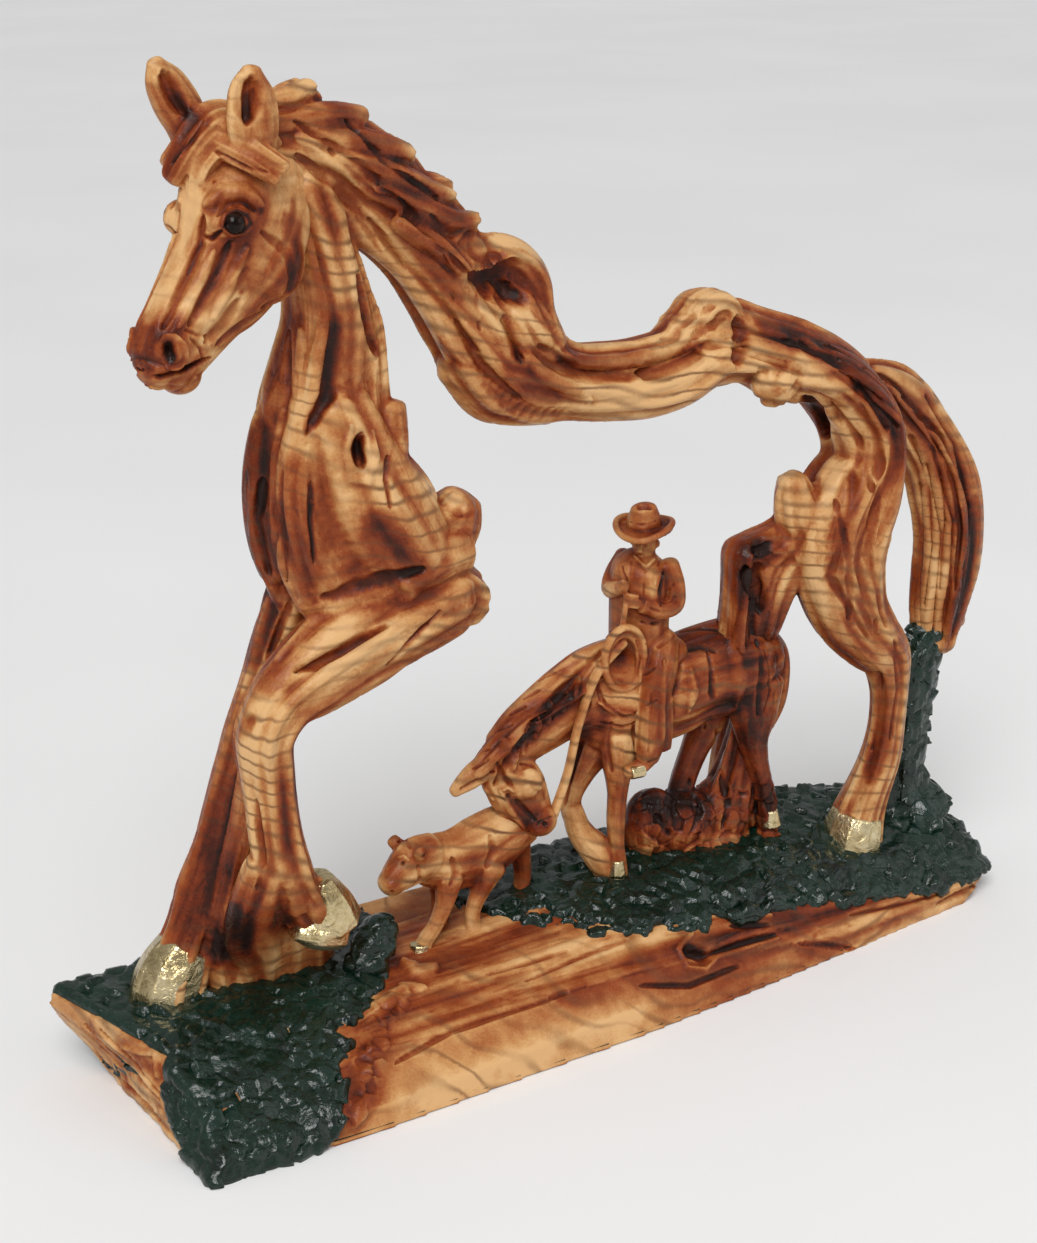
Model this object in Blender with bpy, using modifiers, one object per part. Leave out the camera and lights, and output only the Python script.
"""Driftwood-look cast horse over a cowboy, a cutting horse and a calf, on a split log.

Metres, +Z up. X runs along the log and the tall horse faces -X; its left side faces -Y.
The origin is on the underside, below the middle of the log.
The figures are drawn on grids whose squares are shares of each figure's own height.
"""

import math

import bmesh
import bpy
import numpy as np
from mathutils import Vector

# Driving sizes, in metres
HORSE_HEIGHT = 0.268       # top of the log to the far ear tip
GROUP_HEIGHT = 0.121       # turf to the crown of the cowboy's hat
CALF_HEIGHT = 0.038        # wood to the calf's ear
LOG_WIDTH = 0.086
LOG_THICKNESS = 0.023      # at the front hooves
FRONT_REACH = 0.129        # planted front hoof, ahead of the origin
FRONT_OVERHANG = 0.032     # log beyond the planted front hoof
REAR_OVERHANG = 0.011     # log beyond the stump under the tail
GROUP_PLACE = 0.146        # planted front hoof to the cowboy's mount
CALF_PLACE = 0.090         # planted front hoof to the calf

# How finely the casting is made
CARVING_CELL = 0.0012
FACES_LEFT = 8800
AROUND = 20
CAP_RINGS = 4

# Drawing grids: squares in each figure's height, and each grid's own ground line
HORSE_SQUARES = 268
HORSE_GROUND = 23
GROUP_SQUARES = 121
GROUP_GROUND = 30
CALF_SQUARES = 38
CALF_GROUND = 24
LOG_SQUARES_WIDE = 86
LOG_SQUARES_THICK = 23
HOOF_X = -127              # planted hoof on the horse's grid
STUMP_X = 147
SMALL_HOOF_X = 19
CALF_X = -38

HORSE_SQUARE = HORSE_HEIGHT / HORSE_SQUARES
TURF_TOP = LOG_THICKNESS * GROUP_GROUND / LOG_SQUARES_THICK
WOOD_TOP = LOG_THICKNESS * CALF_GROUND / LOG_SQUARES_THICK
HOOF_PLACE = -FRONT_REACH
LOG_START = HOOF_PLACE - FRONT_OVERHANG
LOG_END = HOOF_PLACE + (STUMP_X - HOOF_X) * HORSE_SQUARE + REAR_OVERHANG


def on_grid(square, grid_x, grid_ground, place_x, ground):
    """A function that takes grid points to metres: grid_x stands at place_x, the ground line at ground."""
    def place(points):
        points = np.atleast_2d(np.asarray(points, float))[:, :3]
        return points * square + (place_x - grid_x * square, 0.0, ground - grid_ground * square)
    place.square = square
    return place


horse = on_grid(HORSE_SQUARE, HOOF_X, HORSE_GROUND, HOOF_PLACE, LOG_THICKNESS)
group = on_grid(GROUP_HEIGHT / GROUP_SQUARES, SMALL_HOOF_X, GROUP_GROUND,
                HOOF_PLACE + GROUP_PLACE, TURF_TOP)
calf = on_grid(CALF_HEIGHT / CALF_SQUARES, CALF_X, CALF_GROUND, HOOF_PLACE + CALF_PLACE, WOOD_TOP)


def smooth_rows(rows, count):
    """Rows read at even steps along a smooth curve through all of them."""
    rows = np.asarray(rows, float)
    step = np.maximum(np.linalg.norm(np.diff(rows[:, :3], axis=0), axis=1), 1e-6)
    at = np.concatenate([[0.0], np.cumsum(step)])
    slope = np.gradient(rows, at, axis=0)
    where = np.linspace(0.0, at[-1], count)
    left = np.clip(np.searchsorted(at, where, side="right") - 1, 0, len(rows) - 2)
    width = (at[left + 1] - at[left])[:, None]
    t = (where[:, None] - at[left][:, None]) / width
    return ((2 * t**3 - 3 * t**2 + 1) * rows[left] + (t**3 - 2 * t**2 + t) * width * slope[left]
            + (3 * t**2 - 2 * t**3) * rows[left + 1] + (t**3 - t**2) * width * slope[left + 1])


def skin(shape, ring_point, rings, around=AROUND):
    """A closed tube in the bmesh shape: ring_point gives each ring's points from its angles."""
    made = bmesh.ops.create_grid(shape, x_segments=around, y_segments=rings - 1, size=0.5)["verts"]
    for vert in made:
        ring = round((vert.co.y + 0.5) * (rings - 1))
        angle = (vert.co.x + 0.5) * 2 * math.pi
        vert.co = Vector(ring_point(ring, angle))
    bmesh.ops.remove_doubles(shape, verts=made, dist=1e-6)


def limb(shape, place, rows, blunt=(0.8, 0.8), side=(0.0, 1.0, 0.0), square=2.0):
    """A limb through rows of x, y, z, half width and half depth, with rounded ends."""
    rows = np.asarray(rows, float)
    count = max(6, 3 * len(rows))
    fine = smooth_rows(rows, count)
    centres = place(fine)
    half = fine[:, 3:5] * place.square
    along = np.gradient(centres, axis=0)
    along /= np.linalg.norm(along, axis=1)[:, None]
    wide = np.cross(np.asarray(side, float), along)
    wide /= np.linalg.norm(wide, axis=1)[:, None]
    deep = np.cross(along, wide)
    order = [(0, -blunt[0] * math.cos(turn), math.sin(turn))
             for turn in np.linspace(0, math.pi / 2, CAP_RINGS, endpoint=False)]
    order += [(ring, 0.0, 1.0) for ring in range(count)]
    order += [(count - 1, blunt[1] * math.sin(turn), math.cos(turn))
              for turn in np.linspace(0, math.pi / 2, CAP_RINGS + 1)[1:]]
    order = [(ring, reach, max(0.0, size)) for ring, reach, size in order]

    def ring_point(index, angle):
        ring, reach, size = order[index]
        cos, sin = math.cos(angle), math.sin(angle)
        cos = math.copysign(abs(cos) ** (2 / square), cos)
        sin = math.copysign(abs(sin) ** (2 / square), sin)
        return (centres[ring] + along[ring] * reach * half[ring].min()
                + wide[ring] * half[ring, 0] * size * cos + deep[ring] * half[ring, 1] * size * sin)

    skin(shape, ring_point, len(order))


def ball(shape, place, centre, radii):
    """An ellipsoid with its radii along X, Y and Z, in squares."""
    made = bmesh.ops.create_icosphere(shape, subdivisions=3, radius=1.0)["verts"]
    middle = Vector(place(centre)[0])
    for vert in made:
        vert.co = middle + Vector([size * place.square * part for size, part in zip(radii, vert.co)])


# The tall horse's head has a frame of its own: down the nose, out of the forehead, to its right
YAW = math.radians(20)
NOSE_DROP = (0.6, -0.8)    # forward and up, for one step down the nose
POLL = (-107.4, 0.6, 276.0)
FORWARD = np.array([-math.cos(YAW), -math.sin(YAW), 0.0])
RIGHT = np.array([-math.sin(YAW), math.cos(YAW), 0.0])
DOWN_NOSE = NOSE_DROP[0] * FORWARD + (0.0, 0.0, NOSE_DROP[1])
OFF_BROW = -NOSE_DROP[1] * FORWARD + (0.0, 0.0, NOSE_DROP[0])


def head_point(down, off, right):
    return np.array(POLL) + down * DOWN_NOSE + off * OFF_BROW + right * RIGHT


def head_limb(shape, rows, blunt=(0.7, 0.6), square=2.3):
    """Rows of distance down the nose, front face, back face and half width, in the head's frame."""
    placed = [(*head_point(down, (front + back) / 2, 0.0), half, (front - back) / 2)
              for down, front, back, half in rows]
    limb(shape, horse, placed, blunt, side=OFF_BROW, square=square)


def tall_horse(shape):
    """Every strand of the hollow, driftwood-like horse."""
    head_limb(shape, [(0, 0, -22, 9), (8, 1.5, -30, 12), (18, 2.5, -36, 14), (26, 1.5, -37, 13.5),
                      (34, 0, -34.5, 11.5), (44, -0.5, -29, 9.5), (54, 0, -24.5, 8.5),
                      (61, 0, -22, 8.8), (66, -1.5, -19.5, 8)])
    for right in (-1, 1):
        ball(shape, horse, head_point(27, -24, right * 6), (11, 8, 12))
        ball(shape, horse, head_point(24, -2.5, right * 10.8), (4.8, 4.8, 4.8))
        ball(shape, horse, head_point(62, -7, right * 6.5), (5, 4, 5))
    ball(shape, horse, head_point(66.5, -9, 0), (6.2, 6.5, 6))
    ball(shape, horse, head_point(65, -18, 0), (6, 6, 5.5))
    limb(shape, horse, [(-106, -6, 266, 5, 5), (-107, -8, 273, 6.6, 5), (-107.5, -9, 280, 6.8, 4.2),
                        (-107.5, -9, 286, 5.2, 3.2), (-107, -9, 289.5, 2.6, 1.8)], (0.8, 0.6))
    limb(shape, horse, [(-116, 5, 268, 5, 5), (-118, 6, 275, 5.8, 4.6), (-121.5, 7, 282, 6, 4),
                        (-124.5, 7, 287.5, 4.6, 3), (-126, 7, 291, 2.2, 1.7)], (0.8, 0.6))
    # Forelock and the brow lock that crosses to the near side
    limb(shape, horse, [(-104, 3, 275, 6, 6), (-113, 1, 274, 6, 7), (-121, 1, 268, 5, 6),
                        (-125, 3, 262, 3.5, 4)])
    limb(shape, horse, [(-112, -4, 273, 4.5, 5), (-108, -11, 269, 4, 3.5), (-103, -14, 266, 2.8, 2.6)])
    # Crest, mane, spine, croup and near hind leg are one long strand
    limb(shape, horse, [
        (-104, 3, 268, 8, 8), (-97, 4, 268, 12, 10), (-85, 5, 265, 14.5, 11), (-72, 6, 258, 15.5, 11),
        (-60, 6, 249, 14, 10.5), (-49, 6, 239, 14, 10.5), (-41, 6, 228, 14.5, 11),
        (-33, 6, 218, 17, 12.5), (-24, 6, 206, 18, 13), (-14, 6, 197.5, 15, 12), (-3, 6, 193.5, 11.5, 11),
        (11, 6, 191.5, 11.5, 11), (26, 6, 191, 12, 12), (37, 6, 193, 12, 12), (46, 6, 198, 13, 12),
        (54, 6, 199, 13, 12), (63, 5.5, 197, 11.5, 12.5), (78, 3, 190.5, 12.5, 14),
        (88, 2, 187, 11, 15), (100, 1, 177.5, 11, 16), (106, 0, 168, 11, 15.5),
        (107, -1, 157, 11, 15), (103, -2, 147, 15.5, 15), (97, -2, 133, 18.8, 14.5),
        (98.5, -3, 117, 15, 12), (103, -3, 106, 12.5, 10.5),
        (109, -4, 98, 10.5, 9.5), (117, -4, 89, 8.3, 8), (119.5, -4, 78, 6.2, 6.5),
        (119.5, -4, 69, 5.8, 6), (117.5, -3, 51, 6.5, 6.5), (114.5, -2, 42, 7, 7),
        (112, -1, 34, 8, 8), (109, -1, 24, 9.5, 9.5)])
    # Ends of the mane's locks, the withers and the saddle hump
    limb(shape, horse, [(-93, 4, 270, 8, 8), (-88, 4, 278.5, 5.5, 7), (-84.5, 4, 281.5, 4, 5)], (0.8, 0.3))
    limb(shape, horse, [(-84, 4, 266, 8, 8), (-75, 4, 271.5, 5.5, 7), (-70.5, 4, 272.5, 4, 5)], (0.8, 0.3))
    limb(shape, horse, [(-70, 4, 258, 8, 8), (-61, 4, 261.5, 5.5, 7), (-56.5, 4, 261, 4, 5)], (0.8, 0.3))
    limb(shape, horse, [(-56, 4, 248, 8, 8), (-48, 4, 253, 5, 7), (-43.5, 4, 252.5, 3.5, 5)], (0.8, 0.3))
    limb(shape, horse, [(-48, 4, 238, 8, 8), (-40, 4, 242.5, 5, 7), (-36.5, 4, 241.5, 3.5, 5)], (0.8, 0.3))
    limb(shape, horse, [(-38, 5, 226, 10, 9), (-28, 5, 232, 7, 9), (-21, 5, 231, 5.5, 8),
                        (-16, 5, 225, 5.5, 8), (-14.5, 5, 216, 5.5, 8), (-12, 5, 207, 7, 9)])
    limb(shape, horse, [(-38, 5, 205, 8, 9), (-28, 5, 194, 8, 9), (-20, 5, 190, 6, 8),
                        (-10, 5, 189, 6, 8)])
    limb(shape, horse, [(41, 6, 204, 7, 9), (46.5, 5, 211.5, 4.5, 8), (51, 5, 211, 4.5, 8),
                        (54, 5, 203, 7, 9)])
    limb(shape, horse, [(72, 0, 192, 9, 9), (66, -5, 187, 7, 7), (63, -8, 185, 5.5, 5.5)], (0.8, 0.3))
    # Throat, neck and chest
    limb(shape, horse, [(-88, 4, 258, 10, 10), (-82.5, 5, 238, 10.5, 11), (-79, 6, 223, 11.8, 12),
                        (-80, 7, 208, 14.5, 13), (-82, 8, 192, 18, 15), (-83, 8, 176, 21, 17),
                        (-79, 8, 163, 24.5, 18), (-72, 7, 152, 27, 18), (-69, 5, 142, 25, 17)])
    limb(shape, horse, [(-80, 4, 242, 6, 7), (-74, 5, 231, 5, 7), (-69.5, 5, 217, 5, 7),
                        (-69.5, 4, 203, 5.5, 8), (-71, 4, 190, 8, 9)])
    limb(shape, horse, [(-73, 2, 172, 12, 10), (-66.5, 0, 186, 7, 8), (-65, 0, 196, 5, 6)], (0.8, 0.4))
    limb(shape, horse, [(-64, 4, 150, 18, 14), (-51, 3, 155, 14, 13), (-43.5, 2, 160, 9, 10),
                        (-40.5, 1, 165, 5.5, 7)], (0.8, 0.4))
    limb(shape, horse, [(-64, 1, 140, 16, 13), (-48, 0, 139, 12, 12), (-38.5, 0, 135.5, 7.5, 9)],
         (0.8, 0.5))
    # Raised near foreleg, folded back at the knee, its hoof and the web under it
    limb(shape, horse, [(-51, -1, 140, 13, 13), (-60, -2, 137.5, 13, 13), (-71, -3, 134, 13.5, 12),
                        (-83, -4.5, 130, 13, 11.5), (-94, -5.5, 125, 11.5, 10.5),
                        (-104, -6, 119, 9, 9.5), (-109, -6, 110, 8, 9),
                        (-108.5, -6, 100, 7.6, 8), (-107.5, -6, 90, 7.4, 7.5),
                        (-106, -5.5, 79, 7.8, 7.5), (-103.5, -5, 68, 8.2, 8), (-100, -3, 59, 7.6, 7.5)])
    limb(shape, horse, [(-99, -3, 60, 7.5, 7.5), (-94.5, -2, 53.5, 8.5, 8.5), (-88.5, -1, 46.5, 9.5, 9)],
         (0.6, 0.15))
    limb(shape, horse, [(-108, -4, 68, 8.5, 7), (-109.5, -2, 56, 9.5, 6), (-108, 1, 46, 11.5, 5.5),
                        (-102, 4, 36, 11, 5.5), (-99, 7, 26, 11, 7), (-99, 7, 18, 13, 8)])
    # Planted far foreleg
    limb(shape, horse, [(-80, 10, 150, 12, 11), (-87, 12, 141, 10.5, 10), (-92, 14, 132, 8, 8.5),
                        (-97.5, 16, 117, 6.5, 7), (-102.5, 18, 102, 6.3, 6.6), (-106, 19, 90, 6.2, 6.4),
                        (-109, 20, 79, 6.2, 6.2), (-111, 21, 66, 8, 6.5), (-115, 22, 54, 9, 7.5),
                        (-120, 22, 43, 8, 8), (-124, 22, 35, 8.4, 8.4), (-128, 22, 27, 9.8, 9.8),
                        (-128.5, 22, 19, 10.5, 10)])
    # Thigh stubs and the far hind strand, down behind the small horse
    limb(shape, horse, [(86, 0, 134, 11, 10), (80, 0, 147, 7, 7), (78.5, 0, 153, 4.8, 5)], (0.8, 0.6))
    limb(shape, horse, [(86, 3, 132, 12, 11), (77, 5, 127, 11.5, 10), (73.5, 7, 117, 11.5, 9.5),
                        (74, 10, 108, 9.5, 9), (76, 15, 98, 8, 8), (77, 19, 87, 7, 7),
                        (78, 21, 72, 6.5, 6.5), (76, 22, 56, 7, 7), (75, 21, 42, 8.5, 8.5),
                        (75, 20, 28, 10, 10)])
    limb(shape, horse, [(71, 4, 130, 8, 8), (63, 2, 136, 4.5, 6)], (0.6, 0.3))
    # Tail and the stump that carries it
    limb(shape, horse, [(99, 3, 180, 8, 8), (112, 4, 180, 6.5, 7.5), (121, 5, 175, 9, 8),
                        (130.5, 6, 166.5, 10.5, 8.5), (140.5, 6, 154.5, 10.5, 8.5), (148, 6, 140, 11.6, 9),
                        (151.5, 6, 124, 11.2, 9), (152, 7, 109, 11.2, 8.5), (150.5, 8, 96, 9.5, 7.5),
                        (149, 8, 85, 7.5, 6)])
    limb(shape, horse, [(152, 8, 99, 7, 6), (157.5, 9, 90, 4.5, 4.5)], (0.8, 0.5))
    limb(shape, horse, [(147, 8, 84, 5, 5.5), (146, 9, 72, 5, 6), (146, 10, 60, 5.5, 6),
                        (145, 10, 48, 5.5, 6.5), (144.5, 10, 38, 5.8, 7.5), (145, 10, 30, 8, 10),
                        (146, 9, 20, 13, 15)])
    limb(shape, horse, [(122, -3, 84, 5, 5), (133, 3, 80, 4, 5), (144, 8, 76, 4, 5)])


def cutting_horse(shape):
    """The cowboy's mount, its head low in front of the calf."""
    limb(shape, group, [(79, 12, 92, 11, 8), (74, 12, 91, 15, 11), (64, 12, 91, 16, 12),
                        (52, 12, 90.5, 16, 12), (40, 12, 88.5, 16.5, 12.5), (28, 12, 89, 17.5, 12),
                        (18, 12, 91, 18, 11), (10, 12, 92, 15.5, 8.5), (2, 12, 91, 12.5, 7),
                        (-6, 11, 88.5, 11.2, 6.2), (-14, 11, 84.5, 10, 5.8), (-21, 10, 80.5, 8.5, 5.2)])
    limb(shape, group, [(-25, 9, 80, 7, 5.2), (-21, 9, 74, 9, 5.8), (-16.5, 9, 67, 9.5, 5.4),
                        (-12.5, 8.5, 60, 7.5, 4.6), (-10, 8, 55, 5.8, 4)])
    limb(shape, group, [(-26, 9, 79, 4, 3.5), (-34, 8, 76, 3.8, 3), (-40, 8, 72.8, 2, 1.6)])
    limb(shape, group, [(20, 8, 78, 8, 6), (19, 7, 67, 4.8, 4.2), (19, 7, 60, 3.4, 3.2),
                        (18.5, 7, 50, 3, 2.9), (19, 7, 40, 2.6, 2.6), (19.5, 7, 33, 3.2, 3.2),
                        (19.5, 7, 27, 3.4, 3.4)])
    limb(shape, group, [(15, 15, 72, 7.5, 5.5), (10.5, 16, 64, 5, 4), (8, 17, 56, 3.6, 3.4),
                        (9.5, 17, 49, 3.4, 3.2), (14, 17, 42, 3.8, 3.4), (18.5, 16, 36, 4, 3.6),
                        (19, 16, 27, 3.6, 3.6)])
    limb(shape, group, [(72, 8, 84, 11, 7.5), (72, 7, 73, 8, 6), (72, 7, 66, 5.4, 4.8),
                        (74, 7, 58, 4, 3.8), (77, 7, 49, 3.4, 3.2), (79, 7, 38, 3.1, 3.1),
                        (80, 7, 28, 3.8, 3.8)])
    limb(shape, group, [(62, 16, 80, 9, 7), (60, 17, 70, 6, 5.5), (56, 17, 62, 4.6, 4.4),
                        (53, 18, 53, 4.2, 4.2), (50, 18, 42, 4.4, 4.4), (48, 18, 28, 5, 5)])
    limb(shape, group, [(79, 10, 99, 3.2, 3.5), (84, 10, 93, 3, 3), (85.5, 10, 83, 2.8, 2.8),
                        (84, 10, 74, 2.6, 2.4), (80.5, 10, 68, 2.2, 2.2)])
    # Brown ground heaped between the mount's hind feet
    ball(shape, group, (40, 16, 37), (9, 8, 13))
    ball(shape, group, (52, 15, 34), (12, 9, 14))
    ball(shape, group, (68, 15, 32), (13, 9, 13))


def cowboy(shape):
    """Seated rider with hat, chaps, coiled rope and reins."""
    limb(shape, group, [(31, 12, 103, 8, 9), (30.5, 12, 111, 6.8, 8), (31, 11.5, 119, 7, 8.2),
                        (31.5, 11, 127, 7.2, 9.2), (31.5, 11, 132, 5.5, 8), (31, 10.5, 135, 3.2, 3.5)])
    ball(shape, group, (29, 9.5, 139), (4.2, 4, 5))
    limb(shape, group, [(29, 9.5, 143, 10, 9.5), (29, 9.5, 144.4, 10, 9.5)], (0.05, 0.05))
    limb(shape, group, [(29, 9.5, 143, 6, 5.4), (29, 9.5, 147.5, 5.4, 4.8), (29, 9.5, 150, 4.4, 3.6)],
         (0.3, 0.5))
    limb(shape, group, [(34.5, 4, 131.5, 3.8, 3.4), (36, 2.2, 125, 3.3, 3), (35.5, 1.7, 120, 3.1, 3),
                        (30, 1.5, 119, 2.7, 2.7), (25, 3.5, 121, 2.4, 2.4), (22, 5.5, 123, 2.5, 2.5)])
    limb(shape, group, [(29, 18.5, 131.5, 3.7, 3.4), (25, 19, 126, 3.3, 3), (22.5, 17.5, 121, 3, 2.8),
                        (21.5, 13, 120, 2.6, 2.5), (21.5, 8, 121.5, 2.4, 2.4)])
    for side, out in ((-1, 10), (1, 10)):
        middle = 12
        limb(shape, group, [(34, middle + side * 5, 106, 6.5, 6), (30.5, middle + side * out, 101, 6, 5.5),
                            (28, middle + side * (out + 1), 93, 5.6, 4.8),
                            (27, middle + side * (out + 1.5), 85, 5.4, 4.6),
                            (26.5, middle + side * (out + 1.5), 77, 5, 4.2),
                            (25.5, middle + side * (out + 1.5), 72, 4, 3.4)])
        limb(shape, group, [(27, middle + side * (out + 1.5), 72, 2.6, 2.8),
                            (22, middle + side * (out + 1.5), 69, 2.4, 2.6),
                            (18.5, middle + side * (out + 1.5), 68.5, 1.9, 2)])
    ball(shape, group, (36, 12, 103), (15, 12, 6))
    coil = [(17.5 + 6.5 * math.cos(turn), 2.6 - 0.5 * math.cos(turn), 105.5 + 9.5 * math.sin(turn), 1.8, 2)
            for turn in np.linspace(0, 2 * math.pi, 13)]
    limb(shape, group, coil)
    limb(shape, group, [(18, 4, 110, 1.6, 1.8), (9, 3.5, 103, 1.5, 1.7), (2.5, 4, 88, 1.4, 1.6),
                        (-2, 4.5, 70, 1.4, 1.6), (-6, 5.5, 58, 1.5, 1.8)])


def small_calf(shape):
    """The calf in front of the cutting horse's nose."""
    limb(shape, calf, [(-14, 12, 54.5, 7.5, 5.5), (-22, 12, 52.5, 10, 6.8), (-31, 12, 49.5, 11, 7.2),
                       (-41, 11.5, 49, 9.8, 6.6), (-49, 11, 51, 8, 5.5)])
    limb(shape, calf, [(-49, 10, 53, 7, 5.4), (-55.5, 8.5, 53, 7.4, 5.6), (-61, 7.5, 50.5, 5.6, 4.6),
                       (-64.5, 7, 48.5, 4.2, 3.6)])
    limb(shape, calf, [(-55, 5, 56, 2.5, 2), (-56.5, 2, 59, 2, 1.4)])
    limb(shape, calf, [(-57, 11, 56, 2.5, 2), (-59, 14, 59, 2, 1.4)])
    limb(shape, calf, [(-43, 8, 45, 5, 4), (-45.5, 7, 37, 2.9, 2.8), (-49, 6.5, 31, 2.4, 2.4),
                       (-53, 6.5, 26, 2.6, 2.6), (-54, 6.5, 21, 3, 3)])
    limb(shape, calf, [(-42, 15, 45, 5, 4), (-42, 15, 36, 3, 3), (-42.5, 15, 28, 2.8, 2.8),
                       (-43, 15, 20, 3.4, 3.4)])
    limb(shape, calf, [(-29, 8, 45, 6, 4.4), (-32.5, 7.5, 38, 3.1, 3), (-35, 7.5, 32, 2.4, 2.4),
                       (-34, 7.5, 22, 3, 3)])
    limb(shape, calf, [(-16, 15, 50, 6, 5), (-12.5, 16, 42, 3.4, 3.3), (-11, 17, 36, 2.8, 2.8),
                       (-12, 17, 24, 3.2, 3.2)])


# Log sections, front to rear: share of the length, then points across on the log's own grid
LOG_SECTIONS = [
    (0.00, [(-42, 0), (-39, 6), (-24, 14.5), (-5, 22), (8, 23.5), (22, 25), (38, 26.5), (40, 14), (28, 0)]),
    (0.18, [(-43, 0), (-41, 7), (-29, 15), (-12, 22), (4, 25), (20, 25.5), (38, 28), (42, 16), (31, 0)]),
    (0.34, [(-40, 0), (-38.5, 8), (-30, 16), (-16, 23), (0, 25.5), (16, 26.5), (38, 28.5), (43, 17), (31, 0)]),
    (0.50, [(-38, 0), (-35, 8), (-27, 17), (-14, 25), (-2, 29), (14, 31), (34, 31.5), (42, 17), (31, 0)]),
    (0.66, [(-33.5, 0), (-30.5, 8), (-23, 16), (-13, 24), (0, 30), (14, 32), (33, 33), (41, 17), (31, 0)]),
    (0.82, [(-28, 0), (-26, 7), (-20, 14), (-12, 21), (0, 26), (14, 30), (32, 32), (40, 17), (31, 0)]),
    (0.94, [(-23, 0), (-21.5, 6), (-18, 11), (-12, 17), (0, 23), (12, 27), (26, 27), (38, 16), (31, 0)]),
    (1.00, [(-21, 0), (-20.5, 4), (-17, 8), (-11, 13), (0, 17.5), (12, 19), (24, 18), (34, 10), (31, 0)]),
]
LOG_RINGS = 40
BELOW = -6                 # the raw log runs this far under its sawn underside, in squares
TOP_LEAN = 0.34            # how far the front face's top leans out, along its width
REAR_UNDERCUT = 15         # how far the rear end's foot stands in, in squares


def split_log(shape):
    """The split log, thick at the front and thin at the tail, its front face leaning out."""
    wide, thick = LOG_WIDTH / LOG_SQUARES_WIDE, LOG_THICKNESS / LOG_SQUARES_THICK
    shares = np.array([share for share, _ in LOG_SECTIONS])
    outlines = np.array([[*points, (38, BELOW), (-38, BELOW)] for _, points in LOG_SECTIONS], float)
    across = outlines.shape[1]
    steps = 4

    def front_face(y, z):
        up = min(max(z / 22, 0.0), 1.0)
        foot = 12
        top = 14 - TOP_LEAN * (y + 5)
        return LOG_START + (foot + (top - foot) * up) * wide

    def rear_face(z):
        return LOG_END - REAR_UNDERCUT * max(0.0, 1 - max(z, 0.0) / 9) * wide

    def ring_point(ring, angle):
        inner = min(max(ring - 1, 0), LOG_RINGS - 3)
        share = inner / (LOG_RINGS - 3)
        outline = [[np.interp(share, shares, outlines[:, point, axis]) for axis in (0, 1)]
                   for point in range(across)]
        outline = np.array(outline)
        at = angle / (2 * math.pi) * across
        point = int(at) % across
        part = at - int(at)
        y, z = outline[point] * (1 - part) + outline[(point + 1) % across] * part
        if ring in (0, LOG_RINGS - 1):
            y, z = outline[:, 0].mean(), outline[:, 1].mean()
        x = front_face(y, z) * (1 - share) + rear_face(z) * share
        return x, y * wide, z * thick

    skin(shape, ring_point, LOG_RINGS, across * steps)


def casting_object(name, collection):
    """All the forms in one mesh, as they overlap before they are cast as one."""
    shape = bmesh.new()
    for build in (split_log, tall_horse, cutting_horse, cowboy, small_calf):
        build(shape)
    bmesh.ops.recalc_face_normals(shape, faces=shape.faces)
    mesh = bpy.data.meshes.new(name)
    shape.to_mesh(mesh)
    shape.free()
    made = bpy.data.objects.new(name, mesh)
    collection.objects.link(made)
    return made


def settle(piece):
    """Puts the piece's modifiers into its mesh."""
    graph = bpy.context.evaluated_depsgraph_get()
    mesh = bpy.data.meshes.new_from_object(piece.evaluated_get(graph))
    piece.modifiers.clear()
    old, piece.data = piece.data, mesh
    bpy.data.meshes.remove(old)


def fuse(piece):
    """Runs overlapping forms together into one skin and softens where they meet."""
    remesh = piece.modifiers.new("One skin", "REMESH")
    remesh.mode = "VOXEL"
    remesh.voxel_size = CARVING_CELL
    smooth = piece.modifiers.new("Soft joins", "SMOOTH")
    smooth.factor = 0.5
    smooth.iterations = 4
    settle(piece)


def near(points, route, radius):
    """For each point, 1 on the route and 0 from one radius off it."""
    best = np.full(len(points), np.inf)
    for start, end in zip(route[:-1], route[1:]):
        run = end - start
        share = np.clip((points - start) @ run / max(run @ run, 1e-12), 0.0, 1.0)
        best = np.minimum(best, np.linalg.norm(points - start - share[:, None] * run, axis=1))
    return np.clip(1 - (best / radius) ** 2, 0.0, 1.0) ** 2


def carve(piece, strokes):
    """Strokes of a grid, a route, a radius and a depth, in squares: a depth below 0 cuts in."""
    mesh = piece.data
    count = len(mesh.vertices)
    points = np.empty(count * 3, np.float32)
    normals = np.empty(count * 3, np.float32)
    mesh.vertices.foreach_get("co", points)
    mesh.vertices.foreach_get("normal", normals)
    points = points.reshape(-1, 3).astype(float)
    normals = normals.reshape(-1, 3).astype(float)
    moved = points.copy()
    for place, route, radius, depth in strokes:
        route = place(route)
        if len(route) == 1:
            route = np.repeat(route, 2, axis=0)
        moved += normals * (near(points, route, radius * place.square) * depth * place.square)[:, None]
    mesh.vertices.foreach_set("co", moved.astype(np.float32).ravel())
    mesh.update()


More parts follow.
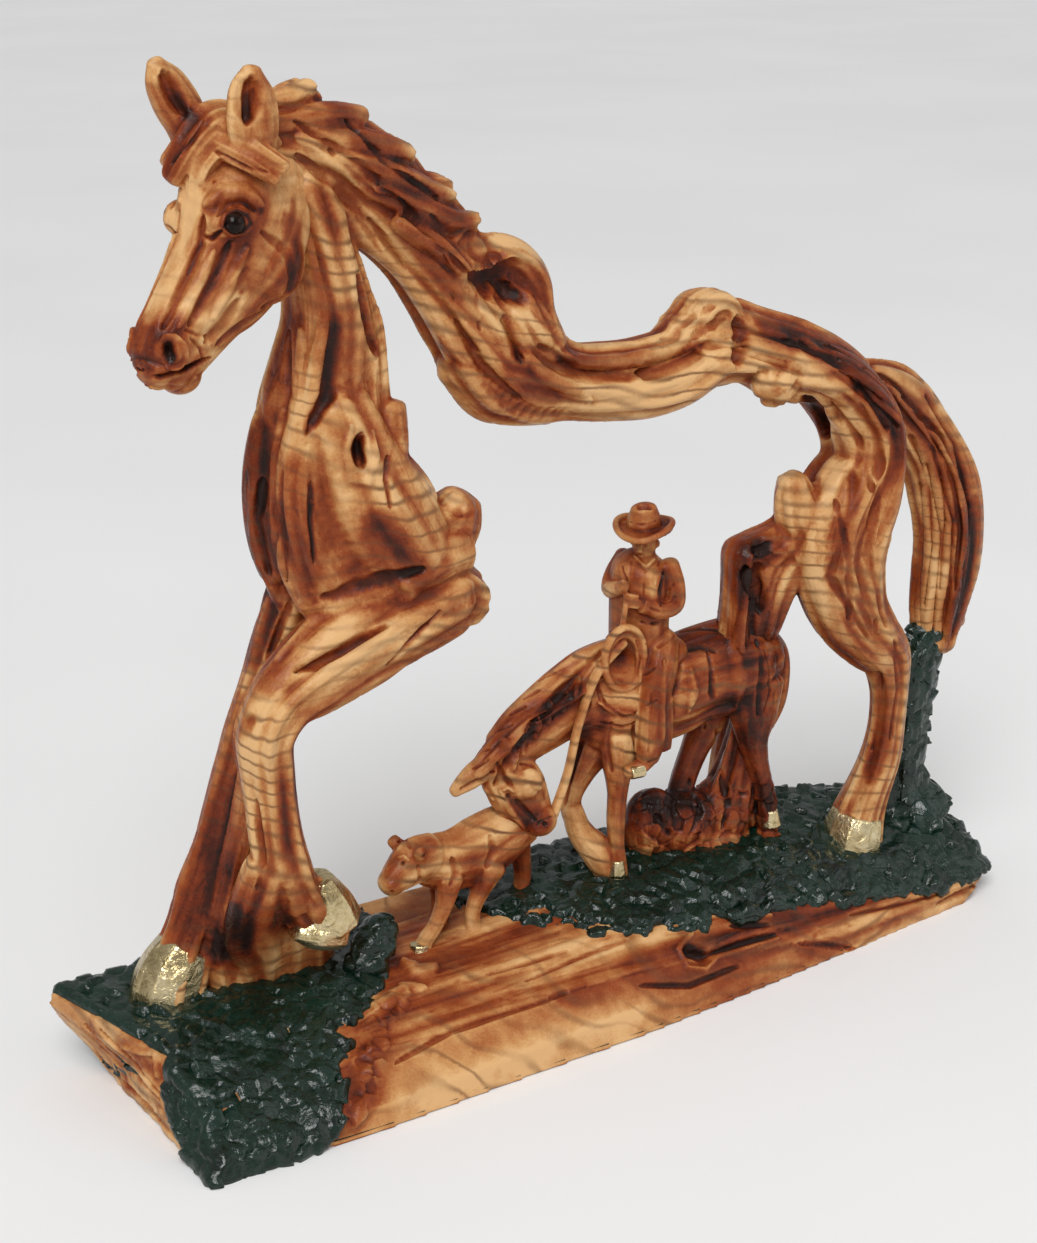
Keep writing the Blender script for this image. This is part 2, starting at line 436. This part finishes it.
STROKES = [
    # Sockets over the eyes, nostrils and the mouth's line, on both sides of the head
    *[(horse, [head_point(22, -8, side * 14), head_point(31, -7, side * 12)], 4, -1.2) for side in (-1, 1)],
    *[(horse, [head_point(26.5, -4.5, side * 14)], 2.6, 0.8) for side in (-1, 1)],
    *[(horse, [head_point(63, -7.5, side * 10)], 3.4, -2.6) for side in (-1, 1)],
    *[(horse, [head_point(36, -8, side * 11), head_point(58, -9, side * 9)], 4, -1.2) for side in (-1, 1)],
    (horse, [head_point(66, -14, -7), head_point(70, -13, 0), head_point(66, -14, 7)], 2.4, -1.4),
    # Cups of the ears, open to the front
    (horse, [(-111, -12, 273), (-112, -13, 284)], 5, -3),
    (horse, [(-122, 2, 275), (-127, 2, 285)], 5, -3),
    # Slit in the chest, grooves of the neck and the forearm, hollow behind the withers
    (horse, [(-74, -9, 193), (-79, -10, 184)], 6, -6),
    (horse, [(-92, -6, 262), (-86, -7, 232), (-90, -6, 205)], 5, -3),
    (horse, [(-66, -6, 150), (-88, -10, 142)], 6, -3.5),
    (horse, [(-64, -14, 138), (-88, -15, 126)], 5, -2.5),
    (horse, [(-38, -7, 229), (-26, -7, 222)], 9, -7),
    (horse, [(78, -10, 182), (90, -14, 172), (95, -15, 160)], 7, -5),
    # Knot hole and grain cracks in the log's near side
    (horse, [(26, -27, 15), (38, -25, 14)], 8, -4),
    (horse, [(38, -25, 15), (60, -22, 15)], 4, -2),
    (horse, [(-60, -34, 12), (-25, -33, 14), (0, -30, 16)], 4, -1.8),
]


def thin_out(piece, faces):
    """Leaves about that many triangles, the most where the form turns most."""
    mesh = piece.data
    mesh.calc_loop_triangles()
    decimate = piece.modifiers.new("Facets", "DECIMATE")
    decimate.ratio = faces / len(mesh.loop_triangles)
    settle(piece)


def saw_underside(piece, cutters):
    """Cuts the underside flat at Z = 0."""
    shape = bmesh.new()
    bmesh.ops.create_cube(shape, size=1.0)
    reach = 2 * (LOG_END - LOG_START)
    bmesh.ops.scale(shape, vec=(reach, reach, reach), verts=shape.verts)
    bmesh.ops.translate(shape, vec=(0, 0, -reach / 2), verts=shape.verts)
    mesh = bpy.data.meshes.new("underside_saw")
    shape.to_mesh(mesh)
    shape.free()
    saw = bpy.data.objects.new("underside_saw", mesh)
    saw.hide_render = True
    saw.display_type = "WIRE"
    cutters.objects.link(saw)
    cut = piece.modifiers.new("Sawn underside", "BOOLEAN")
    cut.operation = "DIFFERENCE"
    cut.object = saw


def resin_material():
    material = bpy.data.materials.new("wood_look_resin")
    material.use_nodes = True
    surface = material.node_tree.nodes["Principled BSDF"]
    surface.inputs["Base Color"].default_value = (0.50, 0.26, 0.12, 1)
    surface.inputs["Roughness"].default_value = 0.55
    surface.inputs["Metallic"].default_value = 0.0
    return material


def main():
    for item in list(bpy.data.objects):
        bpy.data.objects.remove(item, do_unlink=True)
    sculpture = bpy.data.collections.new("horse_and_cowboy_sculpture")
    cutters = bpy.data.collections.new("cutters")
    for collection in (sculpture, cutters):
        bpy.context.scene.collection.children.link(collection)
    casting = casting_object("cast_sculpture", sculpture)
    fuse(casting)
    carve(casting, STROKES)
    thin_out(casting, FACES_LEFT)
    saw_underside(casting, cutters)
    casting.data.materials.append(resin_material())
    casting.data.shade_smooth()


main()
